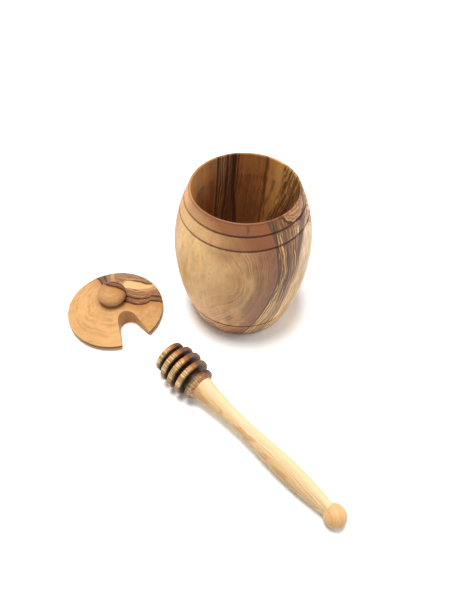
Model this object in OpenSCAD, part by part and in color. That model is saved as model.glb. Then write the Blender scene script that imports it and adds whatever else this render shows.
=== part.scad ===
// Turned wooden honey pot: a barrel-shaped pot, its loose lid with a slot for
// the dipper, and the two-piece dipper. The lid and the dipper lie on the table
// beside the pot. The origin is the centre of the pot's foot.

/* [Pot] */
// Height of the pot
pot_h = 100; // [82:1:120]
// Diameter of the barrel at its widest
belly_d = 86.6; // [80:0.2:104]
// Height of the widest place above the foot
belly_z = 54; // [46:1:60]
// Diameter of the foot
foot_d = 65.6; // [54:0.2:76]
// Diameter of the mouth and of the straight bore below it
mouth_d = 62; // [51:0.2:70]
// Radius of the rounded rim, which is half the wall's thickness there
rim_round = 0.75; // [0.5:0.05:1.5]
// Thickness of the floor
floor_h = 9; // [6:0.5:12]
// Radius inside, where the bore meets the floor
corner_r = 6; // [3:0.5:12]
// Bevel around the foot
foot_bevel = 1.2; // [0.4:0.1:2]

/* [Burnt grooves] */
// Depth of the first groove below the rim
groove_1_drop = 6.8; // [5:0.1:9]
// Depth of the second groove below the rim
groove_2_drop = 14.8; // [11:0.1:20]
// Height of the third groove above the foot
groove_3_z = 16.5; // [10:0.1:24]
// Half width of a groove, which is round in section
groove_r = 0.7; // [0.4:0.05:1]

/* [Lid] */
// How far the lid stands past the rim
lid_lap = 0.45; // [0.2:0.05:2]
// Thickness of the lid's edge
edge_h = 2.2; // [1.6:0.1:4]
// Small bevel on the lid's edge
edge_bevel = 0.4; // [0.2:0.1:0.7]
// Height of the spigot that drops into the mouth
spigot_h = 2.6; // [2:0.1:5]
// Gap between the spigot and the mouth, all round
spigot_gap = 0.5; // [0.2:0.1:1]
// Rise of the lid's top from its edge to the knob
lid_rise = 10.8; // [7:0.2:13]
// How far the top bulges above a straight cone
lid_bulge = 0.6; // [0:0.1:2]
// Diameter of the knob
knob_d = 19.2; // [16:0.2:24]
// Height of the knob from its lowest to its highest point
knob_h = 13; // [11:0.2:16]
// Height of the knob's middle above the crown of the lid
knob_lift = 4.4; // [3:0.1:5]

/* [Slot for the dipper] */
// Distance of the slot's round end from the lid's centre
slot_reach = 19.2; // [18:0.2:23]
// Radius of the slot's round end
slot_r = 6.3; // [5.5:0.1:7.5]
// Direction of the slot's round end, seen from the lid's centre
slot_turn = -54; // [-180:1:180]
// Turn of the slot's own line away from straight out
slot_skew = -6.5; // [-10:0.5:10]
// Angle by which each side of the slot flares
slot_flare = 15.8; // [0:0.2:20]

/* [Dipper head] */
// Number of rings
ring_count = 5; // [4:1:6]
// Thickness of a ring
ring_w = 3.6; // [3:0.1:5]
// Gap between two rings
ring_gap = 2.9; // [2:0.1:4]
// Largest radius of the head, at its middle
head_r = 13.2; // [12:0.1:16]
// Radius of the first and of the last ring
head_end_r = 10.5; // [9.5:0.1:11.5]
// Rounding on the edge of a ring
ring_round = 1.2; // [0.6:0.1:1.4]
// Radius of the core between the rings
core_r = 7; // [6.5:0.1:8]
// Radius of the domed tip, where it leaves the first ring
tip_r = 8.8; // [7.5:0.1:9.2]
// Height of the domed tip
tip_h = 2.4; // [1:0.1:3.5]
// Height of the turned face behind the last ring
back_h = 1; // [0.6:0.1:2]

/* [Dipper handle] */
// Length of the whole dipper
dipper_l = 141; // [130:1:172]
// Radius of the shoulder that butts against the head
shoulder_r = 7.2; // [6.5:0.1:7.8]
// Distance of the waist from the tip of the head
waist_u = 68; // [60:1:80]
// Radius of the waist
waist_r = 4.8; // [4.2:0.1:5.8]
// Distance of the swell from the tip of the head
swell_u = 101; // [92:1:110]
// Radius of the swell
swell_r = 6; // [5.2:0.1:7]
// Radius of the neck before the ball
neck_r = 4; // [3.5:0.1:5]
// Radius of the ball on the end
ball_r = 6.35; // [5.5:0.05:8]
// Radius of the tenon that is glued into the head
tenon_r = 4; // [3.2:0.1:4.6]
// Length of the tenon
tenon_l = 20; // [12:1:24]
// Glue gap around the tenon
glue_gap = 0.05; // [0.03:0.01:0.1]
// Space left past the tenon's end
tenon_end_gap = 1; // [0.5:0.1:2]
// Bevel on the tenon's end
tenon_bevel = 0.8; // [0.3:0.1:1.5]

/* [Places on the table] */
// Gap between the barrel's widest place and the lid's edge, seen from above
lid_gap = 12.5; // [8:0.2:40]
// Direction of the lid, seen from the pot
lid_turn = 188.9; // [180:0.1:200]
// Gap between the barrel's widest place and the dipper's head, seen from above
dipper_gap = 18; // [12:0.2:40]
// Direction that the dipper points, from its head to its ball
dipper_turn = -45; // [-60:0.1:-30]
// How far the dipper lies along its own line
dipper_along = 6; // [0:0.2:20]

/* [Hidden] */
$fn = 120;
arc_steps = 24;
edge_steps = 5;
past = 1;
pot_colour = [0.80, 0.62, 0.42];
lid_colour = [0.88, 0.68, 0.45];
head_colour = [0.72, 0.55, 0.36];
handle_colour = [0.95, 0.84, 0.60];

// The barrel: two arcs that share an upright tangent at the belly
belly_r = belly_d / 2;
foot_r = foot_d / 2;
mouth_r = mouth_d / 2;
rim_r = mouth_r + 2 * rim_round;
rim_z = pot_h - rim_round;
upper_r = arc_radius(rim_z - belly_z, belly_r - rim_r);
lower_r = arc_radius(belly_z, belly_r - foot_r);
upper_x = belly_r - upper_r;
lower_x = belly_r - lower_r;
upper_turn = asin((rim_z - belly_z) / upper_r);
lower_turn = asin(belly_z / lower_r);

// The lid, from the underside of its spigot up
lid_r = rim_r + lid_lap;
spigot_r = mouth_r - spigot_gap;
edge_top = spigot_h + edge_h;
crown_z = edge_top + lid_rise;
knob_r = knob_d / 2;
knob_half_h = knob_h / 2;
knob_z = crown_z + knob_lift;
knob_seat_r = knob_r * leg(1, knob_lift / knob_half_h);
lid_far = belly_r + lid_gap + lid_r;

// The dipper, along its own axis from the tip of its head
ring_pitch = ring_w + ring_gap;
rings_l = ring_count * ring_pitch - ring_gap;
rings_mid = tip_h + rings_l / 2;
head_l = tip_h + rings_l + back_h;
head_arc_r = arc_radius((rings_l - ring_w) / 2, head_r - head_end_r);
bore_r = tenon_r + glue_gap;
ball_u = dipper_l - ball_r;
neck_u = ball_u - leg(ball_r, neck_r);
shoulder_arc_r = arc_radius(waist_u - head_l, shoulder_r - waist_r);
swell_arc_r = arc_radius(neck_u - swell_u, swell_r - neck_r);

// The dipper lies on its ball and on the ring that first meets the table
lean = max([for (i = [0:ring_count - 1]) lean_on(i)]);
dipper_far = belly_r + dipper_gap + head_r;

// Radius of an arc that falls away by drop over a length along its tangent
function arc_radius(length, drop) = (length * length + drop * drop) / (2 * drop);

// The other short side of a right triangle
function leg(long_side, side) = sqrt(long_side * long_side - side * side);

// Points on an arc around a centre, from one angle to another
function arc(x, z, r, from, to, steps) =
    [for (i = [0:steps]) let (a = from + (to - from) * i / steps) [x + r * cos(a), z + r * sin(a)]];

// Points on a shallow bow between two points, bulging by rise at its middle
function bow(p, q, rise, steps) =
    [for (i = [0:steps]) let (s = i / steps) p + (q - p) * s + [0, 4 * rise * s * (1 - s)]];

// Centre and radius of one ring along the dipper
function ring_u(i) = tip_h + ring_w / 2 + i * ring_pitch;
function ring_r(i) = head_r - head_arc_r + leg(head_arc_r, ring_u(i) - rings_mid);

// Slope of the dipper's axis when one ring and the ball touch the table
function lean_on(i) =
    let (u = ring_u(i) + ring_w / 2 - ring_round, r = ring_r(i) - ring_round, l = ball_u - u)
    atan2(r, l) - asin((ball_r - ring_round) / sqrt(l * l + r * r));

// Radius of the handle: a cove to the waist, a smooth rise to the swell, a bead to the neck
function handle_r(u) =
    u < waist_u ? waist_r + shoulder_arc_r - leg(shoulder_arc_r, waist_u - u) :
    u < swell_u ? waist_r + (swell_r - waist_r) * (1 - cos(180 * (u - waist_u) / (swell_u - waist_u))) / 2 :
    swell_r - swell_arc_r + leg(swell_arc_r, u - swell_u);

// Outline of the barrel, solid
module barrel() {
    polygon(concat(
        [[0, 0]],
        arc(lower_x, belly_z, lower_r, -lower_turn, 0, arc_steps),
        arc(upper_x, belly_z, upper_r, 0, upper_turn, arc_steps),
        arc(rim_r - rim_round, rim_z, rim_round, 0, 180, 2 * edge_steps),
        [[0, rim_z]]
    ));
}

// Outline of the straight bore, with its round corner on the floor
module bore() {
    polygon(concat(
        [[0, floor_h]],
        arc(mouth_r - corner_r, floor_h + corner_r, corner_r, -90, 0, edge_steps),
        [[mouth_r, pot_h + past], [0, pot_h + past]]
    ));
}

// Section of one burnt groove, centred on the barrel's surface at a height
module groove(z) {
    arc_r = z > belly_z ? upper_r : lower_r;
    translate([belly_r - arc_r + leg(arc_r, z - belly_z), z]) circle(r = groove_r, $fn = 24);
}

module pot() {
    color(pot_colour) rotate_extrude() difference() {
        barrel();
        bore();
        groove(pot_h - groove_1_drop);
        groove(pot_h - groove_2_drop);
        groove(groove_3_z);
        polygon([[foot_r - foot_bevel, 0], [foot_r + past, 0], [foot_r + past, foot_bevel + past]]);
    }
}

// Outline of the lid's turned form, solid to its axis
module lid_outline() {
    polygon(concat(
        [[0, 0], [spigot_r - edge_bevel, 0], [spigot_r, edge_bevel], [spigot_r, spigot_h]],
        [[lid_r - edge_bevel, spigot_h], [lid_r, spigot_h + edge_bevel], [lid_r, edge_top - edge_bevel]],
        bow([lid_r - edge_bevel, edge_top], [knob_seat_r, crown_z], lid_bulge, arc_steps),
        [[0, crown_z]]
    ));
}

// Outline of the knob, an ellipse cut off where it grows out of the lid
module knob_outline() {
    seat_turn = asin(knob_lift / knob_half_h);
    points = arc(0, 0, 1, -seat_turn, 90, arc_steps);
    translate([0, knob_z]) polygon(concat(
        [[0, -knob_lift]],
        [for (p = points) [knob_r * p[0], knob_half_h * p[1]]]
    ));
}

// The slot from above: a round end and two sides that flare out past the edge
module slot() {
    side = [cos(slot_flare), sin(slot_flare)] * lid_r;
    start = [-sin(slot_flare), cos(slot_flare)] * slot_r;
    rotate(slot_turn) translate([slot_reach, 0]) rotate(slot_skew) union() {
        circle(r = slot_r);
        polygon([start, start + side, [start[0] + side[0], -start[1] - side[1]], [start[0], -start[1]]]);
    }
}

module lid() {
    translate([lid_far * cos(lid_turn), lid_far * sin(lid_turn), 0])
    color(lid_colour) difference() {
        rotate_extrude() union() {
            lid_outline();
            knob_outline();
        }
        translate([0, 0, -past]) linear_extrude(crown_z + 2 * past) slot();
    }
}

// Puts what is turned along its own axis where the dipper lies on the table
module lying_dipper() {
    side_turn = dipper_turn - 90;
    translate([
        dipper_far * cos(side_turn) + dipper_along * cos(dipper_turn),
        dipper_far * sin(side_turn) + dipper_along * sin(dipper_turn),
        ball_r + ball_u * sin(lean)
    ])
    rotate([0, 90 + lean, dipper_turn]) children();
}

// Outline of one ring, with rounded edges
module ring(i) {
    r = ring_r(i) - ring_round;
    half = ring_w / 2 - ring_round;
    translate([0, ring_u(i)]) polygon(concat(
        [[0, -ring_w / 2]],
        arc(r, -half, ring_round, -90, 0, edge_steps),
        arc(r, half, ring_round, 0, 90, edge_steps),
        [[0, ring_w / 2]]
    ));
}

// Outline of the domed tip and of the core that carries the rings
module core() {
    tip_arc_r = arc_radius(tip_r, tip_h);
    tip_turn = asin(tip_r / tip_arc_r);
    polygon(concat(
        arc(0, tip_arc_r, tip_arc_r, -90, -90 + tip_turn, edge_steps),
        [[core_r, tip_h], [core_r, head_l - back_h]],
        [[shoulder_r + back_h, head_l - back_h], [shoulder_r, head_l], [0, head_l]]
    ));
}

module dipper_head() {
    bore_l = tenon_l + tenon_end_gap;
    color(head_colour) lying_dipper() difference() {
        rotate_extrude() union() {
            core();
            for (i = [0:ring_count - 1]) ring(i);
        }
        translate([0, 0, head_l - bore_l]) cylinder(h = bore_l + past, r = bore_r);
    }
}

module dipper_handle() {
    neck_turn = 180 - asin(neck_r / ball_r);
    color(handle_colour) lying_dipper() rotate_extrude() polygon(concat(
        [[0, head_l - tenon_l], [tenon_r - tenon_bevel, head_l - tenon_l]],
        [[tenon_r, head_l - tenon_l + tenon_bevel], [tenon_r, head_l]],
        [for (i = [0:2 * arc_steps - 1])
            let (u = head_l + (neck_u - head_l) * i / (2 * arc_steps)) [handle_r(u), u]],
        [for (i = [0:arc_steps])
            let (a = neck_turn * (1 - i / arc_steps)) [ball_r * sin(a), ball_u + ball_r * cos(a)]]
    ));
}

pot();
lid();
dipper_head();
dipper_handle();
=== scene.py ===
import math

import bmesh
import bpy
from mathutils import Matrix, Vector


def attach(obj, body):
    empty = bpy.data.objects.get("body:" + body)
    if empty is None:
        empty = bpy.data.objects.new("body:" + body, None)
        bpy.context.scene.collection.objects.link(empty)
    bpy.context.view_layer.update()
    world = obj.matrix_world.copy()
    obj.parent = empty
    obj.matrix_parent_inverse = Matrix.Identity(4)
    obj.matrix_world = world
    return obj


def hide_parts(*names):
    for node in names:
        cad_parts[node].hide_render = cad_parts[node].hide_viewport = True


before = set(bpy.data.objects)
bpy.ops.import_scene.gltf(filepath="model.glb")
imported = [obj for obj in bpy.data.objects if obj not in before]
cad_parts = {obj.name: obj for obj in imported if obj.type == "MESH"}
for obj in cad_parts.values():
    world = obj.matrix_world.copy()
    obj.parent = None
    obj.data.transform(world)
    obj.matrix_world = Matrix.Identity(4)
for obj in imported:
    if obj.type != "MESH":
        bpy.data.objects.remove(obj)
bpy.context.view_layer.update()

MM = 0.001
scene = bpy.context.scene
scene.view_settings.view_transform = "Standard"


# The table
# A white sheet that the three pieces stand on. It is white to the camera and to anything glossy,
# keeps the soft grey shadow under each piece, and fades into the white room far from them.
FLOOR_REACH = 1.5
FLOOR_DROP = 0.03 * MM
FLOOR_PAINT = 0.80
FLOOR_SEEN = 1.12
FLOOR_FADE = (0.3, 0.7)


class Wire:
    """A value on its way through a material: sums and products of wires add Math nodes."""

    def __init__(self, tree, socket=None):
        self.tree = tree
        self.socket = socket

    def node(self, kind, settings=None, sockets=None, out=0):
        """Adds a node of a kind: first its settings, then the values or wires of its sockets."""
        made = self.tree.nodes.new("ShaderNode" + kind)
        for name, value in (settings or {}).items():
            if name == "stops":
                stops = made.color_ramp.elements
                while len(stops) < len(value):
                    stops.new(0.5)
                for stop, (place, colour) in zip(stops, value):
                    stop.position = place
                    stop.color = colour
            elif name == "curve":
                curve = made.mapping.curves[0].points
                while len(curve) < len(value):
                    curve.new(0.5, 0.5)
                for point, place in zip(curve, value):
                    point.location = place
                made.mapping.update()
            else:
                setattr(made, name, value)
        for name, value in (sockets or {}).items():
            if isinstance(value, Wire):
                self.tree.links.new(value.socket, made.inputs[name])
            else:
                made.inputs[name].default_value = value
        return Wire(self.tree, made.outputs[out] if made.outputs else None)

    def math(self, operation, *values):
        return self.node("Math", {"operation": operation}, dict(enumerate(values)))

    def __add__(self, other):
        return self.math("ADD", self, other)

    def __sub__(self, other):
        return self.math("SUBTRACT", self, other)

    def __mul__(self, other):
        return self.math("MULTIPLY", self, other)

    def __truediv__(self, other):
        return self.math("DIVIDE", self, other)

    def __pow__(self, other):
        return self.math("POWER", self, other)

    def __abs__(self):
        return self.math("ABSOLUTE", self)

    def __neg__(self):
        return self.math("MULTIPLY", self, -1.0)

    def __rsub__(self, other):
        return self.math("SUBTRACT", other, self)

    def __rtruediv__(self, other):
        return self.math("DIVIDE", other, self)

    __radd__ = __add__
    __rmul__ = __mul__


def new_material(name):
    """An empty material, and the wire that starts in it."""
    material = bpy.data.materials.new(name)
    material.use_nodes = True
    material.node_tree.nodes.clear()
    return material, Wire(material.node_tree)


def greater(one, other):
    """The greater of two wires at each point."""
    return one.math("MAXIMUM", one, other)


def rises(value, low, high):
    """0 below a low value and 1 above a high one, with a soft step between."""
    return value.node("MapRange", {"interpolation_type": "SMOOTHSTEP"},
                      {"Value": value, "From Min": low, "From Max": high, "To Min": 0.0, "To Max": 1.0})


def length(vector):
    """How far a place is from where its vector starts."""
    return vector.node("VectorMath", {"operation": "LENGTH"}, {0: vector}, out="Value")


def sheet_white():
    """Matt white, which far away turns into the white room for the camera and for glossy wood."""
    material, start = new_material("white sheet")
    seen = start.node("LightPath", out="Is Camera Ray")
    in_view = greater(seen, start.node("LightPath", out="Is Glossy Ray"))
    plain, bright = [(level, level, level, 1) for level in (FLOOR_PAINT, FLOOR_SEEN)]
    white = start.node("Mix", {"data_type": "RGBA"}, {0: in_view, 6: plain, 7: bright}, out=2)
    matt = start.node("BsdfDiffuse", sockets={"Color": white})
    room_white = start.node("Emission", sockets={"Color": (1, 1, 1, 1), "Strength": 1.0})
    far_away = rises(length(start.node("TexCoord", out="Object")), *FLOOR_FADE)
    surface = start.node("MixShader", sockets={0: far_away * in_view, 1: matt, 2: room_white})
    start.node("OutputMaterial", sockets={"Surface": surface})
    return material


sheet = bmesh.new()
bmesh.ops.create_grid(sheet, x_segments=2, y_segments=2, size=FLOOR_REACH)
bmesh.ops.translate(sheet, verts=sheet.verts, vec=(0, 0, -FLOOR_DROP))
floor_mesh = bpy.data.meshes.new("table_sheet")
sheet.to_mesh(floor_mesh)
sheet.free()
floor = bpy.data.objects.new("table_sheet", floor_mesh)
scene.collection.objects.link(floor)
floor_mesh.materials.append(sheet_white())


# The light and the camera
# A white room, a broad soft lamp over the table and a weaker one from the right.
# The camera stands in front of the pot and looks down on it.
ROOM_LIGHT = 0.34
CAMERA_PLACE = (-0.011197, -0.225747, 0.276038)
CAMERA_TILT = 38.948
CAMERA_ROLL = 0.254
CAMERA_LENS = 29.486
CAMERA_SENSOR = 36.0
CAMERA_NEAR = 0.01

world = bpy.data.worlds.new("white room")
world.use_nodes = True
world.node_tree.nodes.clear()
start = Wire(world.node_tree)
seen = start.node("LightPath", out="Is Camera Ray")
room = start.node("Background", sockets={"Color": (1, 1, 1, 1), "Strength": seen + (1 - seen) * ROOM_LIGHT})
start.node("OutputWorld", sockets={"Surface": room})
scene.world = world


def lamp(name, place, target, size, power):
    """A round lamp of a size in metres and a power in watts, aimed at a target."""
    light = bpy.data.lights.new(name, "AREA")
    light.shape = "DISK"
    light.size = size
    light.energy = power
    holder = bpy.data.objects.new(name, light)
    holder.location = place
    holder.rotation_euler = (Vector(target) - Vector(place)).to_track_quat("-Z", "Y").to_euler()
    scene.collection.objects.link(holder)


lamp("lamp_over", place=(-0.10, 0.04, 0.95), target=(-0.02, -0.03, 0), size=0.44, power=11.5)
lamp("lamp_right", place=(0.80, 0.12, 0.40), target=(0, 0, 0.04), size=0.50, power=2.6)

view = bpy.data.cameras.new("camera")
view.sensor_width = CAMERA_SENSOR
view.sensor_fit = "AUTO"
view.lens = CAMERA_LENS
view.clip_start = CAMERA_NEAR
camera = bpy.data.objects.new("camera", view)
tilt = Matrix.Rotation(math.radians(CAMERA_TILT), 4, "X")
roll = Matrix.Rotation(math.radians(CAMERA_ROLL), 4, "Z")
camera.matrix_world = Matrix.Translation(CAMERA_PLACE) @ tilt @ roll
scene.collection.objects.link(camera)
scene.camera = camera


# The pot
# A barrel turned from one block of olive wood, with the grain standing upright. Its bore runs
# straight down, and three grooves are burnt into it: two under the rim and one over the foot.
POT_HEIGHT = 100.0
BELLY_RADIUS = 43.3
BELLY_HEIGHT = 54.0
RIM_RADIUS = 32.5
RIM_ROUND = 0.75
RIM_HEIGHT = POT_HEIGHT - RIM_ROUND
FOOT_RADIUS = 32.8
FOOT_BEVEL = 1.2
BORE_FLOOR = 9.0
BORE_CORNER = 6.0
BORE_RADIUS = RIM_RADIUS - 2 * RIM_ROUND
GROOVE_HEIGHTS = (16.5, POT_HEIGHT - 14.8, POT_HEIGHT - 6.8)
GROOVE_RADIUS = 0.7
OUTLINE_STEP = 1.6
MERGE_WITHIN = 0.002
POT_SIDES = 200
SANDED = 0.15
FIBRE_RELIEF = 0.2 * MM

# Colours across the grain, from the pot's left to its right
POT_FRONT_COLOURS = [
    (-50, (236, 190, 126)), (-40, (238, 196, 134)), (-30, (222, 176, 120)), (-16, (212, 166, 114)),
    (-10, (184, 136, 96)), (-4, (158, 110, 80)), (0, (148, 102, 76)), (2, (230, 188, 126)),
    (8, (224, 180, 120)), (17, (226, 180, 124)), (18, (232, 180, 124)), (20, (240, 210, 166)),
    (36, (246, 220, 180)), (50, (230, 178, 116))]
POT_BACK_COLOURS = [
    (-50, (208, 152, 94)), (-12, (200, 142, 88)), (-4, (182, 126, 76)), (1, (186, 138, 90)),
    (4, (214, 164, 112)), (12, (174, 124, 84)), (15, (182, 122, 74)), (18, (190, 128, 70)),
    (31, (200, 138, 76)), (34, (234, 176, 100)), (37, (238, 182, 108)), (40, (206, 148, 94)),
    (50, (204, 142, 98))]

# How far across the pot its dark lines lie, from its foot to its rim
HEART_LINE = [
    (0, -22), (10, -19.5), (20, -16.8), (30, -13.6), (40, -11), (50, -8.4), (60, -5), (68, -3.7),
    (80, -3.7), (90, -4.4), (95, -5.4), (100, -7)]
VEINS_REACH = [(0, 2), (40, 2.5), (60, 0), (70, 0.3), (80, 3.4), (88, 8), (100, 13)]
FORK_LEFT = [(0, -9), (40, 0.5), (60, 3.4), (68, 4.6), (74, 5.6), (80, 4.6), (84, 3.2), (90, 1), (100, -1)]
FORK_RIGHT = [(0, -6), (40, 3), (60, 4.4), (70, 6), (77, 9.8), (83, 12.5), (90, 15), (100, 16)]

# The heart's slant through the block, the whorl on the front, the eye under the rim, and the finish
HEART_SLANT = 0.597
WHORL_PLACE = (-3, -43, 60)
WHORL_SIZE = (13, 30, 25)
WHORL_PUSH = 10
EYE_PLACE = (27.5, -18.5, 101.5)
EYE_SIZE = (12, 12, 8.6)
POT_FIBRE = (0.7, 0.7, 12)
POT_GLOSS = 0.22


def arc(centre, radius, first, last, points):
    """Points on an arc, from a first angle to a last one, in degrees."""
    turns = [math.radians(first + (last - first) * i / (points - 1)) for i in range(points)]
    return [(centre[0] + radius * math.cos(a), centre[1] + radius * math.sin(a)) for a in turns]


def spread(first, last, points):
    """Evenly spaced numbers from a first one to a last one."""
    return [first + (last - first) * i / (points - 1) for i in range(points)]


def bow(length, drop):
    """Radius of the arc that leaves its tangent by a drop over a length."""
    return (length ** 2 + drop ** 2) / (2 * drop)


def turned(outline, sides):
    """Spins an outline of (radius, height) points, in millimetres, about the Z axis."""
    shape = bmesh.new()
    points = [shape.verts.new((radius, 0, height)) for radius, height in outline]
    edges = [shape.edges.new(pair) for pair in zip(points, points[1:])]
    bmesh.ops.spin(shape, geom=points + edges, cent=(0, 0, 0), axis=(0, 0, 1), angle=math.tau, steps=sides,
                   use_merge=True, use_duplicate=False)
    bmesh.ops.remove_doubles(shape, verts=shape.verts, dist=MERGE_WITHIN)
    bmesh.ops.recalc_face_normals(shape, faces=shape.faces)
    return shape


def sand(shape, width, angle=40):
    """Rounds every edge that is sharper than an angle."""
    sharp = [edge for edge in shape.edges if edge.calc_face_angle(0) > math.radians(angle)]
    bmesh.ops.bevel(shape, geom=sharp, offset=width, offset_type="OFFSET", affect="EDGES", segments=2,
                    profile=0.5, material=-1, clamp_overlap=True)


def finish_piece(shape, name, place, material, body, node):
    """Makes a shape the piece that stands for a CAD node: in metres, in its place and smooth."""
    bmesh.ops.transform(shape, matrix=Matrix.Scale(MM, 4) @ place, verts=shape.verts)
    mesh = bpy.data.meshes.new(name)
    shape.to_mesh(mesh)
    shape.free()
    mesh.polygons.foreach_set("use_smooth", [True] * len(mesh.polygons))
    mesh.materials.append(material)
    piece = bpy.data.objects.new(name, mesh)
    scene.collection.objects.link(piece)
    flat = piece.modifiers.new("even shading", "WEIGHTED_NORMAL")
    flat.keep_sharp = False
    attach(piece, body)
    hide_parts(node)


def barrel_bow(above):
    """Radius of the barrel's outline above or below its belly."""
    if above:
        return bow(RIM_HEIGHT - BELLY_HEIGHT, BELLY_RADIUS - RIM_RADIUS)
    return bow(BELLY_HEIGHT, BELLY_RADIUS - FOOT_RADIUS)


def barrel(first, last):
    """The barrel's outline from one height to another, both above or both below the belly."""
    radius = barrel_bow(first + last > 2 * BELLY_HEIGHT)
    centre = (BELLY_RADIUS - radius, BELLY_HEIGHT)
    ends = [math.degrees(math.asin((height - BELLY_HEIGHT) / radius)) for height in (first, last)]
    return arc(centre, radius, ends[0], ends[1], 2 + round((last - first) / OUTLINE_STEP))


def groove(height):
    """One burnt groove in the barrel's outline: a half round, listed upwards."""
    centre = barrel(height, height)[0]
    lean = math.degrees(math.asin((height - BELLY_HEIGHT) / barrel_bow(height > BELLY_HEIGHT)))
    return arc(centre, GROOVE_RADIUS, 270 + lean, 90 + lean, 11)


def barrel_outline():
    """From the middle of the foot up the outside, over the rim and down into the bore."""
    low, middle, high = [groove(height) for height in GROOVE_HEIGHTS]
    corner = (BORE_RADIUS - BORE_CORNER, BORE_FLOOR + BORE_CORNER)
    outline = [(radius, 0) for radius in spread(0, FOOT_RADIUS - FOOT_BEVEL, 12)]
    outline += barrel(FOOT_BEVEL, low[0][1])[:-1] + low + barrel(low[-1][1], BELLY_HEIGHT)[1:]
    outline += barrel(BELLY_HEIGHT, middle[0][1])[1:-1] + middle
    outline += barrel(middle[-1][1], high[0][1])[1:-1] + high
    outline += barrel(high[-1][1], RIM_HEIGHT)[1:-1]
    outline += arc((RIM_RADIUS - RIM_ROUND, RIM_HEIGHT), RIM_ROUND, 0, 180, 11)
    outline += [(BORE_RADIUS, height) for height in spread(RIM_HEIGHT, corner[1], 40)[1:]]
    outline += arc(corner, BORE_CORNER, 0, -90, 12)[1:]
    outline += [(radius, BORE_FLOOR) for radius in spread(corner[0], 0, 9)[1:]]
    return outline


def tint(red, green, blue):
    """A colour as it shows on a screen, from 0 to 255, for a shader."""
    parts = [part / 255 for part in (red, green, blue)]
    return tuple(part / 12.92 if part < 0.04045 else ((part + 0.055) / 1.055) ** 2.4 for part in parts) + (1,)


def measured(vector, centre, size, turn=(0, 0, 0)):
    """A place as it is seen from a centre, along turned axes, in steps of a size along each."""
    return vector.node("Mapping", {"vector_type": "TEXTURE"}, {
        "Vector": vector, "Location": centre, "Rotation": turn, "Scale": size})


def own_frame(start, centre, turn=(0, 0, 0)):
    """Object coordinates in millimetres from a centre, turned with the piece."""
    return measured(start.node("TexCoord", out="Object"), [part * MM for part in centre], (MM, MM, MM), turn)


def axes(space):
    """The three parts of a place, each on its own wire."""
    return [space.node("SeparateXYZ", sockets={"Vector": space}, out=axis) for axis in "XYZ"]


def distance(one, other):
    """Distance from an axis, of a point whose two places across it are given."""
    return (one * one + other * other) ** 0.5


def falls(value, low, high):
    """1 below a low value and 0 above a high one, with a soft step between."""
    return 1 - rises(value, low, high)


def cloud(space, size, detail=2.0, seed=0.0):
    """Lumps of a size in millimetres along each axis, from about -1 to 1."""
    lumps = measured(space, (seed, seed, seed), size)
    grain = {"Vector": lumps, "Scale": 1.0, "Detail": detail, "Roughness": 0.55}
    return (space.node("TexNoise", sockets=grain) - 0.5) * 2.6


def lines(across, spacing, width, seed=0.0):
    """Thin lines at uneven steps along one direction: 1 on a line, 0 between them."""
    steps = {"W": across / spacing + seed, "Scale": 1.0, "Detail": 1.0}
    wave = across.node("TexNoise", {"noise_dimensions": "1D"}, steps)
    return falls(abs(wave - 0.5), width * 0.25, width)


def band(value, place, width):
    """1 where a value is at a place, fading to 0 at a width from it."""
    return falls(abs(value - place), width * 0.4, width)


def glow(space, centre, size):
    """1 at a centre, fading out like a bell over a size along each axis."""
    far = length(measured(space, centre, size))
    return far.math("EXPONENT", -(far * far))


def paint(under, mask, colour):
    """A colour laid over another one where a mask is 1."""
    return mask.node("Mix", {"data_type": "RGBA"}, {0: mask, 6: under, 7: colour}, out=2)


def shade(under, strength):
    """A colour made darker or lighter by a strength around 0."""
    return strength.node("VectorMath", {"operation": "SCALE"}, {0: under, "Scale": 1 + strength}, out=0)


def path(value, points):
    """A smooth curve through given points: what a value becomes."""
    places, results = zip(*points)
    low, high = min(results), max(results)
    reach = places[-1] - places[0]
    curve = [((place - places[0]) / reach, (result - low) / (high - low)) for place, result in points]
    share = value.node("FloatCurve", {"curve": curve}, {"Value": (value - places[0]) / reach})
    return share * (high - low) + low


def bands(value, colours):
    """Colours that follow one another, each at its own value, from the first to the last."""
    low, high = colours[0][0], colours[-1][0]
    stops = [((place - low) / (high - low), tint(*colour)) for place, colour in colours]
    return value.node("ValToRGB", {"stops": stops}, {"Fac": (value - low) / (high - low)})


def oiled(start, space, colour, fibre_size, gloss):
    """The surface of oiled wood: fibres and pores in its colour, its gloss and its relief."""
    fibre = cloud(space, fibre_size, 3.0, 7.0)
    pore = rises(cloud(space, [part * 0.7 for part in fibre_size], 1.0, 19.0), 0.5, 0.8)
    height = fibre * 0.3 - pore
    relief = start.node("Bump", sockets={"Strength": 0.3, "Distance": FIBRE_RELIEF, "Height": height})
    skin = start.node("BsdfPrincipled", sockets={
        "Base Color": shade(colour, fibre * 0.06 - pore * 0.14),
        "Roughness": 0.46 + fibre * 0.05 + pore * 0.12,
        "Specular IOR Level": gloss,
        "Normal": relief})
    start.node("OutputMaterial", sockets={"Surface": skin})


def pot_lay(space):
    """How the pot's wood lies: a distance across its grain, 1 in its front part and 0 from the
    middle back, the distance to the right of the dark heart's line, and how far its veins reach."""
    x, y, z = axes(space)
    wander = cloud(space, (14, 14, 40)) * 0.9 + cloud(space, (4, 4, 14), 2.0, 3.0) * 0.4
    across = x + HEART_SLANT * y + wander
    front = falls(y, -18, -2)
    back_line = -4.4 + 4.2 * rises(z, 45, 98)
    heart = across - back_line - front * (path(z, HEART_LINE) - back_line)
    reach = 18 + front * path(z, VEINS_REACH)
    return across, front, heart, reach


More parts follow.
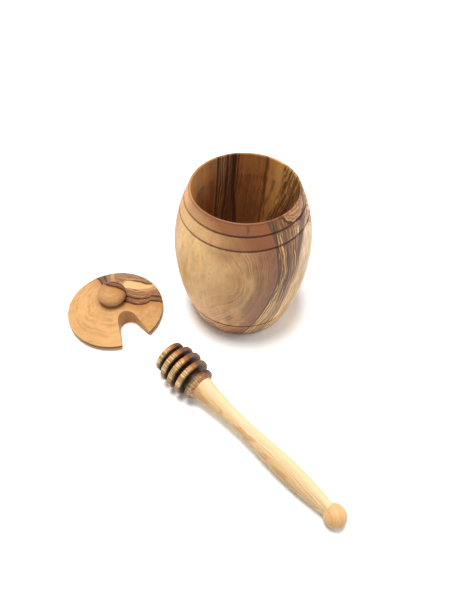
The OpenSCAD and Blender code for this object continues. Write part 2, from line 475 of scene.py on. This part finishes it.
def pot_clouds(colour, space, front):
    """Mottles, long streaks and, in front, warm clouds."""
    mottled = cloud(space, (9, 9, 14), 3.0, 8.0) * 0.13
    mottled = mottled + cloud(space, (3.5, 3.5, 7), 4.0, 28.0) * (0.13 - 0.01 * front)
    streaky = cloud(space, (1.5, 1.5, 26), 2.0, 5.0) * (0.2 - 0.09 * front)
    streaky = streaky + cloud(space, (0.8, 0.8, 3), 2.0, 55.0) * 0.05
    colour = shade(colour, mottled + streaky)
    warm = rises(cloud(space, (6, 6, 12), 3.0, 14.0), 0.0, 0.7) * 0.5
    return paint(colour, warm * front, tint(214, 150, 98))


def pot_shades(colour, space, heart, reach, front):
    """Gold low on the right, painted shade darkening down the back half and the hollow, a murky strip,
    painted light low on the front, and specks.
    """
    z = axes(space)[2]
    low_gold = rises(heart - reach, -2, 0) * falls(z, 42, 62) * front
    colour = paint(colour, low_gold * 0.9, tint(222, 182, 124))
    # Painted shade: the back half and the hollow grow darker further down and a little lighter near the rim.
    painted_hollow_shade = 0.14 * rises(z, 70, 96) - 0.28 * falls(z, 48, 78) - 0.05
    # Painted light: the front grows lighter towards the foot.
    painted_foot_light = falls(z, 14, 50) * front * 0.42
    colour = shade(colour, painted_hollow_shade * (1 - front) + painted_foot_light)
    murk = rises(cloud(space, (6, 6, 9), 3.0, 91.0), 0.0, 0.7)
    murk = murk * rises(heart, 15, 20) * falls(heart, 29, 33)
    colour = paint(colour, murk * (1 - front) * 0.55, tint(122, 74, 44))
    speck = rises(cloud(space, (1.0, 1.0, 1.8), 0.0, 77.0), 0.6, 0.8)
    speck = speck * rises(cloud(space, (8, 8, 12), 1.0, 80.0), -0.2, 0.4)
    return paint(colour, speck * 0.5, tint(138, 90, 56))


def over_groove(z, groove_height):
    """1 above a groove and 0 below it."""
    return rises(z, groove_height - 0.5, groove_height + 0.5)


def pot_reds(colour, space, heart, front):
    """Redder wood under the rim, three dull clouds on the front and a small knot in the rim."""
    z = axes(space)[2]
    rim_band = over_groove(z, GROOVE_HEIGHTS[2])
    reddened = over_groove(z, GROOVE_HEIGHTS[1]) * (0.25 + rim_band * 0.35 + 0.45 * rises(heart, -36, -22))
    reddened = reddened * falls(heart, -1, 1)
    reddened = reddened + rises(z, 72, 86) * rises(heart, -26, -6) * falls(heart, -1, 0) * 0.35
    reddened = reddened + glow(space, (-11.6, -37.5, 82), (9, 9, 4)) * 0.5
    colour = paint(colour, reddened.math("MINIMUM", reddened, 0.95) * front, tint(148, 92, 58))
    dulled = glow(space, (-8, -42.4, 50), (4, 8, 5)) + glow(space, (2.7, -41.4, 73), (5, 8, 5))
    dulled = dulled + glow(space, (8.3, -42.5, 57), (3, 8, 8))
    colour = paint(colour, dulled * 0.3, tint(150, 114, 74))
    knot = glow(space, (0.8, -33.1, 97), (0.8, 3, 2.6))
    return paint(colour, knot * 0.8, tint(100, 56, 34))


def pot_growth(colour, space, heart, front):
    """Growth rings that swing round a whorl in the middle of the front."""
    z = axes(space)[2]
    ring = heart - glow(space, WHORL_PLACE, WHORL_SIZE) * WHORL_PUSH
    ring = ring + cloud(space, (7, 7, 16), 2.0, 37.0) * 1.1
    near_heart = rises(heart, -34, -18)
    growth = lines(ring, 2.6, 0.12) * 0.52 + lines(ring, 1.1, 0.12, 40.0) * 0.34
    growth = growth * rises(cloud(space, (7, 7, 12), 2.0, 95.0), -0.9, 0.5)
    growth = growth * (1 - 0.7 * over_groove(z, GROOVE_HEIGHTS[1]))
    colour = paint(colour, growth * (0.16 + near_heart * 0.84), tint(130, 86, 62))
    pale_ring = band(ring, -24.5, 2.6) * near_heart * falls(heart, -13, -9) * falls(z, 62, 80)
    return paint(colour, pale_ring * 0.25 * front, tint(226, 186, 138))


def pot_veins(colour, space, heart, reach, front):
    """Dark veins on gold beside the heart's line, and a second set that runs aslant from the rim
    on the right down to the back."""
    x, y, z = axes(space)
    swirl = cloud(space, (6, 6, 22), 2.0, 30.0) * 2.2
    first_zone = rises(heart, -0.5, 1) * falls(heart - reach, -1, 1)
    corner = x - 0.5 * y - 15 + 10 * rises(75 - z, 0, 25) + 3.5 * (1 - front)
    second_zone = rises(corner, 0, 4) * rises(y + 0.9 * (z - 84) + 12, -4, 3)
    slant = x - 0.5 * y - 0.27 * z + swirl
    colour = paint(colour, second_zone * front * 0.7, tint(196, 150, 106))
    low = falls(z, 30, 62)
    colour = paint(colour, first_zone * low * front * 0.75, tint(240, 200, 138))
    colour = shade(colour, first_zone * front * 0.14)
    either = greater(first_zone, second_zone)
    patchy = either * rises(cloud(space, (4, 4, 12), 2.0, 44.0), 0.1, 0.8)
    colour = paint(colour, patchy * 0.24, tint(160, 112, 78))
    fine = either * lines(heart + swirl * 1.4, 0.9, 0.13, 60.0)
    colour = paint(colour, fine * (0.5 - 0.15 * low), tint(122, 80, 50))
    first_veins = first_zone * lines(heart + swirl, 2.0, 0.13, 5.0)
    second_veins = second_zone * lines(slant, 2.4, 0.13, 9.0)
    veined = greater(first_veins, second_veins) * (0.72 + 0.18 * front - 0.25 * low)
    colour = paint(colour, veined, tint(88, 56, 38))
    low_lines = lines(heart + swirl * 0.8, 1.9, 0.13, 15.0) * rises(heart - reach, 0, 2)
    return paint(colour, low_lines * falls(z, 45, 85) * front * 0.45, tint(150, 106, 66))


def pot_fork(colour, space, across, front):
    """A dark line that forks upwards among the veins, with duller wood between its two arms."""
    z = axes(space)[2]
    left = across - path(z, FORK_LEFT)
    right = across - path(z, FORK_RIGHT)
    between = rises(left, 0, 1) * falls(right, -1, 0) * rises(z, 66, 74)
    colour = paint(colour, between * front * 0.25, tint(150, 108, 82))
    fork = greater(band(left, 0.0, 1.0), band(right, 0.0, 0.8))
    return paint(colour, fork * front * 0.7, tint(96, 66, 54))


def pot_streaks(colour, space, heart, reach, front):
    """The dark streak on the heart's line, one where the veins end, and three in the back."""
    z = axes(space)[2]
    width = 1.1 + 2.6 * rises(z, 88, 97) * front
    streak = falls(abs(heart - width * 0.6) / width, 0.4, 1.1)
    colour = paint(colour, streak * 0.85, tint(84, 60, 52))
    end_width = 0.9 + 4.8 * rises(z, 62, 88)
    end_streak = falls(abs(heart - reach + 1) / end_width, 0.3, 1.1)
    strength = rises(z, 50, 62) * (0.45 + 0.4 * rises(z, 62, 76)) * (1 - 0.8 * rises(z, 91.5, 94))
    colour = paint(colour, end_streak * front * strength, tint(94, 64, 50))
    in_back = band(heart - 17.5 + 5 * rises(z, 48, 85), 0.0, 1.9) * 0.8 + band(heart, 8.0, 1.0) * 0.45
    in_back = in_back + band(heart - 33 + 2 * rises(z, 60, 90), 0.0, 0.8) * 0.6
    return paint(colour, in_back * (1 - front), tint(66, 40, 32))


def pot_eye(colour, space, radius):
    """A tan eye under the rim on the right, edged and ringed with dark lines, outside only."""
    away = length(measured(space, EYE_PLACE, EYE_SIZE)) + cloud(space, (5, 5, 4), 2.0, 70.0) * 0.24
    outside = rises(radius, 31.3, 31.8)
    colour = paint(colour, falls(away, 0.8, 1.0) * outside * 0.85, tint(200, 148, 98))
    rings = falls(away, 1.3, 1.9) * lines(away * 9, 1.6, 0.14, 3.0) * outside
    colour = paint(colour, rings * 0.7, tint(120, 74, 46))
    return paint(colour, band(away, 1.02, 0.15) * outside * 0.95, tint(78, 46, 32))


def pot_edges(colour, z, radius):
    """Painted shade on the mouth's lip, and the burnt grooves."""
    # Painted shade on the rounded lip of the mouth, which faces the lamp.
    painted_lip_shade = rises(z, 98.6, 99.4) * rises(radius, 30.9, 31.3)
    colour = paint(colour, painted_lip_shade * 0.5, tint(112, 70, 42))
    for height in GROOVE_HEIGHTS:
        depth = distance(radius - barrel(height, height)[0][0], z - height)
        colour = paint(colour, falls(depth, 0.5, 0.9), tint(62, 32, 18))
    return colour


def pot_wood():
    """Golden wood with a dark heart that runs down the front right and up the back of the hollow."""
    material, start = new_material("pot olive wood")
    space = own_frame(start, (0, 0, 0))
    x, y, z = axes(space)
    across, front, heart, reach = pot_lay(space)
    colour = paint(bands(heart, POT_BACK_COLOURS), front, bands(heart, POT_FRONT_COLOURS))
    colour = pot_clouds(colour, space, front)
    colour = pot_shades(colour, space, heart, reach, front)
    colour = pot_reds(colour, space, heart, front)
    colour = pot_growth(colour, space, heart, front)
    colour = pot_veins(colour, space, heart, reach, front)
    colour = pot_fork(colour, space, across, front)
    colour = pot_streaks(colour, space, heart, reach, front)
    colour = pot_eye(colour, space, distance(x, y))
    colour = pot_edges(colour, z, distance(x, y))
    oiled(start, space, colour, POT_FIBRE, POT_GLOSS)
    return material


pot_shape = turned(barrel_outline(), POT_SIDES)
sand(pot_shape, SANDED)
finish_piece(pot_shape, "barrel_pot", Matrix.Identity(4), pot_wood(), "pot", "pot")


# The lid
# A loose lid turned from one piece: a spigot that drops into the pot's mouth, a thin edge, a low
# cone and a knob. A slot for the dipper's handle is sawn in from the edge. It lies on the table.
LID_PLACE = (-87.681, -13.731, 0)
LID_LAP = 0.45
LID_RADIUS = RIM_RADIUS + LID_LAP
SPIGOT_GAP = 0.5
SPIGOT_RADIUS = BORE_RADIUS - SPIGOT_GAP
SPIGOT_HEIGHT = 2.6
EDGE_HEIGHT = 2.2
EDGE_TOP = SPIGOT_HEIGHT + EDGE_HEIGHT
EDGE_ROUND = 0.4
CROWN_RISE = 10.8
CROWN_HEIGHT = EDGE_TOP + CROWN_RISE
CROWN_BULGE = 0.6
KNOB_RADIUS = 9.6
KNOB_HALF_HEIGHT = 6.5
KNOB_MIDDLE = CROWN_HEIGHT + 4.4
KNOB_SEAT = -42.6
LID_SIDES = 240
SLOT_REACH = 19.2
SLOT_RADIUS = 6.3
SLOT_TURN = -54.0
SLOT_SKEW = -6.5
SLOT_FLARE = 15.8
SLOT_ROUND = 0.35
MOUTH_ROUND = 0.8
MOUTH_BEND = (0.35, 0.7, 1.05)
MOUTH_RUN_OUT = 6.0
SAW_PAST = 3.0
LID_FIBRE = (10, 0.7, 0.7)
LID_GLOSS = 0.05

# Colours from the plain wood in front, at -40, to the veined strip behind
LID_COLOURS = [
    (-40, (218, 170, 112)), (-6, (206, 158, 104)), (-1, (184, 128, 80)), (0, (166, 118, 80)),
    (1.5, (172, 126, 90)), (4, (178, 132, 96)), (6, (212, 162, 118)), (8, (198, 148, 110)),
    (14, (206, 156, 110)), (17, (214, 166, 112)), (21, (208, 160, 104)), (24, (196, 148, 100)),
    (31, (200, 156, 108)), (36, (160, 132, 88)), (40, (150, 120, 80))]

# How far back the first dark line lies, from the lid's left to its right
LID_LINE = [
    (-34, 42), (-17.3, 27.5), (-13.7, 21.4), (-9, 9), (-5.4, 0), (-1.8, -3.9), (3, -5.2), (9, -4.7),
    (15, -4.3), (18.5, -2.9), (23, 0.7), (24.5, 3.2), (28, 5.1), (34, 7)]


def lid_top(radius):
    """Height of the lid's top at a distance from its middle, between the knob and the edge."""
    seat = KNOB_RADIUS * math.cos(math.radians(KNOB_SEAT))
    edge = LID_RADIUS - EDGE_ROUND
    share = min(max((edge - radius) / (edge - seat), 0), 1)
    return EDGE_TOP + (CROWN_HEIGHT - EDGE_TOP) * share + 4 * CROWN_BULGE * share * (1 - share)


def lid_outline():
    """From the middle of the spigot's face out to the edge, up the cone and over the knob."""
    edge = (LID_RADIUS - EDGE_ROUND, EDGE_TOP - EDGE_ROUND)
    seat = KNOB_RADIUS * math.cos(math.radians(KNOB_SEAT))
    outline = [(radius, 0) for radius in spread(0, SPIGOT_RADIUS - EDGE_ROUND, 14)]
    outline += arc((SPIGOT_RADIUS - EDGE_ROUND, EDGE_ROUND), EDGE_ROUND, -90, 0, 5)[1:]
    outline += [(SPIGOT_RADIUS, SPIGOT_HEIGHT)]
    outline += arc((edge[0], SPIGOT_HEIGHT + EDGE_ROUND), EDGE_ROUND, -90, 0, 5)
    outline += arc(edge, EDGE_ROUND, 0, 90, 5)
    outline += [(radius, lid_top(radius)) for radius in spread(edge[0], seat, 26)[1:]]
    knob = arc((0, 0), 1, KNOB_SEAT, 90, 26)
    return outline + [(KNOB_RADIUS * x, KNOB_MIDDLE + KNOB_HALF_HEIGHT * y) for x, y in knob[1:]]


def slot_outline(wider):
    """The slot from above, widened all round, as points in the lid's plane."""
    middle = Vector((SLOT_REACH, 0, 0)) @ Matrix.Rotation(math.radians(-SLOT_TURN), 3, "Z")
    away = SLOT_TURN + SLOT_SKEW
    flares = (away - SLOT_FLARE, away + SLOT_FLARE)
    round_end = arc(middle, SLOT_RADIUS + wider, flares[1] + 90, flares[0] + 270, 25)
    sides = []
    for point, turn, hand in ((round_end[0], flares[1], 1), (round_end[-1], flares[0], -1)):
        ahead = Vector((math.cos(math.radians(turn)), math.sin(math.radians(turn))))
        start = Vector(point)
        beside = start.dot(ahead)
        run = -beside + math.sqrt(beside ** 2 - start.dot(start) + (LID_RADIUS - MOUTH_ROUND) ** 2)
        corner = start + ahead * run
        aside = Vector((-ahead.y, ahead.x)) * hand
        bend = [corner + ahead * MOUTH_ROUND * math.sin(a) + aside * (MOUTH_ROUND - wider) * (1 - math.cos(a))
                for a in MOUTH_BEND]
        straight = [start + ahead * run * share for share in spread(0, 1, 12)[1:]]
        sides.append([tuple(spot) for spot in straight + bend + [bend[-1] + (ahead + aside) * MOUTH_RUN_OUT]])
    return sides[0][::-1] + [tuple(point) for point in round_end] + sides[1]


def saw():
    """The tool that cuts the slot: it flares at the lid's faces, so the slot's edges come out rounded."""
    swing = [math.radians(turn) for turn in (90, 60, 30, 0)]
    ease = [(SLOT_ROUND * (1 - math.cos(a)), SLOT_ROUND * (1 - math.sin(a))) for a in swing]
    levels = [(SLOT_ROUND, 0, -SAW_PAST)] + [(wider, 0, depth) for wider, depth in ease]
    levels += [(wider, 1, -depth) for wider, depth in ease[::-1]] + [(SLOT_ROUND, 1, 2 * SAW_PAST)]
    tool = bmesh.new()
    rings = []
    for wider, on_top, offset in levels:
        points = slot_outline(wider)
        lift = [on_top * lid_top(math.hypot(*point)) + offset for point in points]
        ring = [tool.verts.new((x, y, height)) for (x, y), height in zip(points, lift)]
        rings.append([tool.edges.new(pair) for pair in zip(ring, ring[1:] + ring[:1])])
    for below, above in zip(rings, rings[1:]):
        bmesh.ops.bridge_loops(tool, edges=below + above)
    for ring in (rings[0], rings[-1]):
        bmesh.ops.contextual_create(tool, geom=ring)
    bmesh.ops.recalc_face_normals(tool, faces=tool.faces)
    return tool


def cut(shape, tool):
    """What is left of a shape when a tool is taken out of it."""
    blanks = []
    for part in (shape, tool):
        mesh = bpy.data.meshes.new("blank")
        part.to_mesh(mesh)
        part.free()
        blanks.append(bpy.data.objects.new("blank", mesh))
        scene.collection.objects.link(blanks[-1])
    knife = blanks[0].modifiers.new("cut", "BOOLEAN")
    knife.operation = "DIFFERENCE"
    knife.solver = "EXACT"
    knife.object = blanks[1]
    left = bmesh.new()
    left.from_object(blanks[0], bpy.context.evaluated_depsgraph_get())
    for blank in blanks:
        bpy.data.meshes.remove(blank.data)
    return left


def lid_lay(space):
    """How the lid's wood lies: the distance behind the line where its veined strip starts."""
    x, y, z = axes(space)
    squeeze = 0.45 + 0.55 * rises(x, -9, 0)
    return (y - path(x, LID_LINE) - 0.35 * (z - 10)) * squeeze + cloud(space, (5, 3, 4), 2.0, 2.0) * 0.5


def lid_ground(space, heart):
    """Tan wood in soft clouds with painted shade round the knob's foot, a little darker on top of the knob
    and at the right.
    """
    x, y, z = axes(space)
    mottled = cloud(space, (14, 8, 5), 3.0, 5.0) * 0.09 + cloud(space, (4, 3, 2), 3.0, 25.0) * 0.08
    colour = shade(bands(heart, LID_COLOURS), mottled)
    warm = rises(cloud(space, (6, 5, 3), 3.0, 14.0), 0.0, 0.8) * 0.45
    colour = paint(colour, warm, tint(212, 144, 90))
    # Painted shade on the cone round the knob's foot.
    painted_knob_shade = falls(distance(x, y), 8, 17) * falls(z, 15.5, 17.5)
    colour = shade(colour, -0.18 * painted_knob_shade - 0.12 * rises(z, 16, 19))
    return shade(colour, -0.14 * rises(x, 10, 20) * falls(heart, -2, 0))


def lid_growth(colour, space, heart):
    """Growth rings that lie nearly level in the plain wood, and its specks."""
    y, z = axes(space)[1:]
    plain = falls(heart, -2, 0)
    layers = z + 0.05 * y + cloud(space, (10, 10, 6), 3.0, 12.0) * 0.9
    growth = lines(layers, 1.6, 0.12) * 0.30 + lines(layers, 0.7, 0.12, 30.0) * 0.22
    growth = growth * rises(cloud(space, (7, 7, 9), 2.0, 66.0), -0.5, 0.6)
    colour = paint(colour, growth * plain, tint(156, 106, 62))
    speck = rises(cloud(space, (1.3, 0.9, 0.9), 0.0, 77.0), 0.62, 0.8)
    speck = speck * rises(cloud(space, (9, 9, 9), 1.0, 80.0), 0.0, 0.4)
    return paint(colour, speck * plain * 0.5, tint(150, 98, 56))


def lid_veins(colour, space, heart, patch_back):
    """The veined strip, and a paler patch in its middle right that few veins cross."""
    x = axes(space)[0]
    swirl = cloud(space, (9, 3, 4), 2.0, 30.0) * 1.4
    patch_front = 14.5 + 2 * rises(x, 12, 20)
    patch = rises(heart - patch_front, -0.6, 0.8) * falls(heart - patch_back, -1.5, 0)
    patch = patch * rises(x, 3, 6) * falls(x, 22, 27)
    patch_lines = lines(heart + x * 0.5 + cloud(space, (9, 3, 4), 2.0, 31.0), 1.4, 0.13, 8.0)
    colour = paint(colour, patch * (0.92 - 0.4 * patch_lines), tint(232, 188, 134))
    veined = rises(heart, 0, 1) * (1 - patch * 0.85)
    rosy = rises(cloud(space, (12, 2.5, 3), 2.0, 50.0), 0.0, 0.7)
    colour = paint(colour, veined * rosy * 0.55, tint(206, 148, 118))
    colour = paint(colour, veined * lines(heart + swirl, 1.7, 0.13, 5.0) * 0.75, tint(100, 64, 42))
    return paint(colour, veined * lines(heart + swirl * 1.3, 0.7, 0.13, 60.0) * 0.4, tint(122, 82, 56))


def lid_lines(colour, space, heart, patch_back):
    """Murky wood between the two dark lines, the lines themselves, and one behind the pale patch."""
    x, z = axes(space)[::2]
    murky = band(heart, 3.0, 3.4) * (falls(x, 12, 15) + rises(x, 24, 26)) * rises(x, 8, 9)
    colour = paint(colour, murky * 0.4, tint(104, 78, 50))
    left_end = rises(heart, 0.5, 2) * falls(heart, 6, 8) * falls(x, -12, -7)
    colour = paint(colour, left_end * 0.7, tint(88, 70, 52))
    over_knob = rises(z, 16.5, 18) * rises(heart, 0, 1) * falls(heart, 5, 6.5)
    colour = paint(colour, over_knob * 0.5, tint(98, 66, 46))
    first = band(heart, 0.5, 1.1) * 0.9
    second = band(heart, 5.2, 1.2) * 0.9
    third = band(heart - patch_back, 0.6, 1.1) * rises(x, 8, 10) * 0.8
    return paint(colour, greater(first, greater(second, third)), tint(72, 40, 22))


def lid_wood():
    """Orange tan wood. Two dark lines cross the lid and its knob, in front of a veined strip; painted shade
    on its side edge.
    """
    material, start = new_material("lid olive wood")
    space = own_frame(start, LID_PLACE)
    x, y, z = axes(space)
    heart = lid_lay(space)
    patch_back = 26 - 4 * rises(x, 13, 23)
    colour = lid_ground(space, heart)
    colour = lid_growth(colour, space, heart)
    colour = lid_veins(colour, space, heart, patch_back)
    colour = lid_lines(colour, space, heart, patch_back)
    # Painted shade on the lid's side edge, below its rounded top edge.
    rim = rises(distance(x, y), LID_RADIUS - 0.9, LID_RADIUS - 0.2) * falls(z, EDGE_TOP - 0.3, EDGE_TOP)
    colour = paint(colour, rim * 0.88, tint(112, 78, 50))
    oiled(start, space, colour, LID_FIBRE, LID_GLOSS)
    return material


lid_shape = cut(turned(lid_outline(), LID_SIDES), saw())
finish_piece(lid_shape, "slotted_lid", Matrix.Translation(LID_PLACE), lid_wood(), "lid", "lid")


# The dipper's head
# Five rings turned from one darker piece, with a domed tip. It is bored from behind for the
# handle's tenon, and touches the table with its middle ring.
HEAD_PLACE = (-48.44, -56.92, 14.22)
HEAD_LEAN = 93.351
HEAD_TURN = -45.0
RING_COUNT = 5
RING_WIDTH = 3.6
RING_GAP = 2.9
RING_EDGE = 1.2
HEAD_RADIUS = 13.2
HEAD_BOW = 32.65
CORE_RADIUS = 7.0
TIP_RADIUS = 8.8
TIP_HEIGHT = 2.4
BACK_HEIGHT = 1.0
SHOULDER_RADIUS = 7.2
TENON_RADIUS = 4.0
TENON_LENGTH = 20.0
GLUE_GAP = 0.05
TENON_END_GAP = 1.0
HEAD_SIDES = 128
HEAD_FIBRE = (0.5, 0.5, 7)
DIPPER_GLOSS = 0.25
HEAD_LENGTH = TIP_HEIGHT + RING_COUNT * (RING_WIDTH + RING_GAP) - RING_GAP + BACK_HEIGHT

# Colours from the side that faces the viewer, at -16, to the far side
HEAD_COLOURS = [
    (-16, (226, 178, 120)), (-8, (246, 212, 156)), (-1, (240, 200, 138)), (4.5, (216, 158, 94)),
    (7, (200, 124, 72)), (8.2, (94, 72, 58)), (11, (104, 92, 84)), (16, (122, 110, 100))]

DIPPER_TURN = (0, math.radians(HEAD_LEAN), math.radians(HEAD_TURN))
dipper_place = Matrix.Translation(HEAD_PLACE) @ Matrix.Rotation(DIPPER_TURN[2], 4, "Z")
dipper_place = dipper_place @ Matrix.Rotation(DIPPER_TURN[1], 4, "Y")


def head_outline():
    """From the middle of the tip over the rings to the back, and down the bore for the tenon."""
    dome = bow(TIP_RADIUS, TIP_HEIGHT)
    reach = math.degrees(math.asin(TIP_RADIUS / dome))
    outline = arc((0, dome), dome, -90, reach - 90, 12)
    middle = TIP_HEIGHT + (HEAD_LENGTH - TIP_HEIGHT - BACK_HEIGHT) / 2
    half = RING_WIDTH / 2 - RING_EDGE
    for i in range(RING_COUNT):
        at = TIP_HEIGHT + RING_WIDTH / 2 + i * (RING_WIDTH + RING_GAP)
        rim = HEAD_RADIUS - HEAD_BOW + math.sqrt(HEAD_BOW ** 2 - (at - middle) ** 2) - RING_EDGE
        if i:
            outline += [(radius, at - RING_WIDTH / 2) for radius in spread(CORE_RADIUS, rim, 5)[:-1]]
        outline += arc((rim, at - half), RING_EDGE, -90, 0, 7) + arc((rim, at + half), RING_EDGE, 0, 90, 7)
        if i < RING_COUNT - 1:
            outline += [(radius, at + RING_WIDTH / 2) for radius in spread(rim, CORE_RADIUS, 5)[1:]]
    outline += [(SHOULDER_RADIUS + BACK_HEIGHT, HEAD_LENGTH - BACK_HEIGHT), (SHOULDER_RADIUS, HEAD_LENGTH)]
    bore = TENON_RADIUS + GLUE_GAP
    bottom = HEAD_LENGTH - TENON_LENGTH - TENON_END_GAP
    outline += [(bore, height) for height in spread(HEAD_LENGTH, bottom, 8)]
    return outline + [(0, bottom)]


def head_wood():
    """Gold on the side that faces the viewer, dark grey heart on the far side, and painted shade in the gaps
    between the rings.
    """
    material, start = new_material("dipper head olive wood")
    space = own_frame(start, HEAD_PLACE, DIPPER_TURN)
    x, y, z = axes(space)
    heart = y * 0.92 - x * 0.39 + cloud(space, (5, 5, 14), 2.0, 2.0) * 1.4
    mottled = cloud(space, (3, 3, 9), 3.0, 5.0) * 0.18 + cloud(space, (0.9, 0.9, 9), 2.0, 45.0) * 0.16
    colour = shade(bands(heart, HEAD_COLOURS), mottled)
    swirl = cloud(space, (3, 3, 9), 2.0, 30.0) * 0.8
    colour = paint(colour, lines(heart + swirl, 1.5, 0.15, 5.0) * 0.6, tint(104, 66, 38))
    crosswise = x * 0.92 + y * 0.39 + swirl
    colour = paint(colour, lines(crosswise, 1.2, 0.13, 60.0) * 0.5, tint(122, 78, 46))
    # The gaps between the rings: darker core wood, deepened to near black by painted shade.
    painted_gap_shade = falls(distance(x, y), 9.6, 12.4) * rises(z, 4, 7) * falls(z, 30, 32)
    colour = paint(colour, painted_gap_shade * 0.92, tint(44, 25, 15))
    oiled(start, space, colour, HEAD_FIBRE, DIPPER_GLOSS)
    return material


head_shape = turned(head_outline(), HEAD_SIDES)
sand(head_shape, SANDED)
finish_piece(head_shape, "ringed_dipper_head", dipper_place, head_wood(), "dipper", "dipper_head")


# The dipper's handle
# A pale stick with a slim waist, a swell and a ball on its end. Its tenon is glued into the head.
NECK_RADIUS = 4.0
WAIST_AT = 68.0
WAIST_RADIUS = 4.8
SWELL_AT = 101.0
SWELL_RADIUS = 6.0
DIPPER_LENGTH = 141.0
BALL_RADIUS = 6.35
TENON_BEVEL = 0.8
HANDLE_SIDES = 96
HANDLE_FIBRE = (0.5, 0.5, 9)
BALL_AT = DIPPER_LENGTH - BALL_RADIUS
NECK_AT = BALL_AT - math.sqrt(BALL_RADIUS ** 2 - NECK_RADIUS ** 2)

# Colours from the handle's lower side, at -8, to its upper side
HANDLE_COLOURS = [
    (-8, (206, 164, 110)), (-5, (214, 182, 132)), (-3, (221, 205, 166)), (3, (220, 200, 154)),
    (5, (218, 196, 148)), (8, (214, 182, 132))]


def handle_radius(at):
    """Radius of the stick: a cove to the waist, a smooth rise to the swell, a bead to the neck."""
    if at < WAIST_AT:
        cove = bow(WAIST_AT - HEAD_LENGTH, SHOULDER_RADIUS - WAIST_RADIUS)
        return WAIST_RADIUS + cove - math.sqrt(cove ** 2 - (WAIST_AT - at) ** 2)
    if at < SWELL_AT:
        share = (at - WAIST_AT) / (SWELL_AT - WAIST_AT)
        return WAIST_RADIUS + (SWELL_RADIUS - WAIST_RADIUS) * (1 - math.cos(math.pi * share)) / 2
    bead = bow(NECK_AT - SWELL_AT, SWELL_RADIUS - NECK_RADIUS)
    return SWELL_RADIUS - bead + math.sqrt(bead ** 2 - (at - SWELL_AT) ** 2)


def handle_outline():
    """From the tenon's end along the shoulder, the waist and the swell to the end of the ball."""
    end = HEAD_LENGTH - TENON_LENGTH
    outline = [(0, end), (TENON_RADIUS - TENON_BEVEL, end), (TENON_RADIUS, end + TENON_BEVEL)]
    outline += [(TENON_RADIUS, height) for height in spread(end + TENON_BEVEL, HEAD_LENGTH, 8)[1:]]
    outline += [(handle_radius(at), at) for at in spread(HEAD_LENGTH, NECK_AT, 80)]
    neck = math.degrees(math.asin(NECK_RADIUS / BALL_RADIUS))
    return outline + arc((0, BALL_AT), BALL_RADIUS, neck - 90, 90, 30)[1:]


def handle_wood():
    """Pale sapwood with long orange streaks along its lower side and an orange ball."""
    material, start = new_material("dipper handle olive wood")
    space = own_frame(start, HEAD_PLACE, DIPPER_TURN)
    x, y, z = axes(space)
    across = y * 0.9 + x * 0.35 + cloud(space, (6, 6, 40), 2.0, 2.0) * 1.2
    colour = shade(bands(across, HANDLE_COLOURS), cloud(space, (3, 3, 30), 3.0, 5.0) * 0.06)
    low = falls(across, -4, 0)
    streaks = lines(across + cloud(space, (4, 4, 26), 2.0, 30.0), 1.0, 0.13, 5.0)
    colour = paint(colour, streaks * (0.12 + low * 0.5), tint(190, 132, 74))
    finer = lines(across + cloud(space, (4, 4, 30), 2.0, 35.0) * 0.8, 0.5, 0.15, 15.0)
    colour = paint(colour, finer * 0.22, tint(196, 146, 88))
    on_ball = rises(z, NECK_AT - 0.3, NECK_AT + 0.5)
    colour = paint(colour, on_ball * 0.8, tint(218, 174, 118))
    ball_rings = lines(across * 0.9 + z * 0.5, 0.9, 0.15, 60.0)
    colour = paint(colour, on_ball * ball_rings * 0.4, tint(184, 130, 78))
    oiled(start, space, colour, HANDLE_FIBRE, DIPPER_GLOSS)
    return material


handle_shape = turned(handle_outline(), HANDLE_SIDES)
sand(handle_shape, SANDED)
finish_piece(handle_shape, "dipper_stick", dipper_place, handle_wood(), "dipper", "dipper_handle")
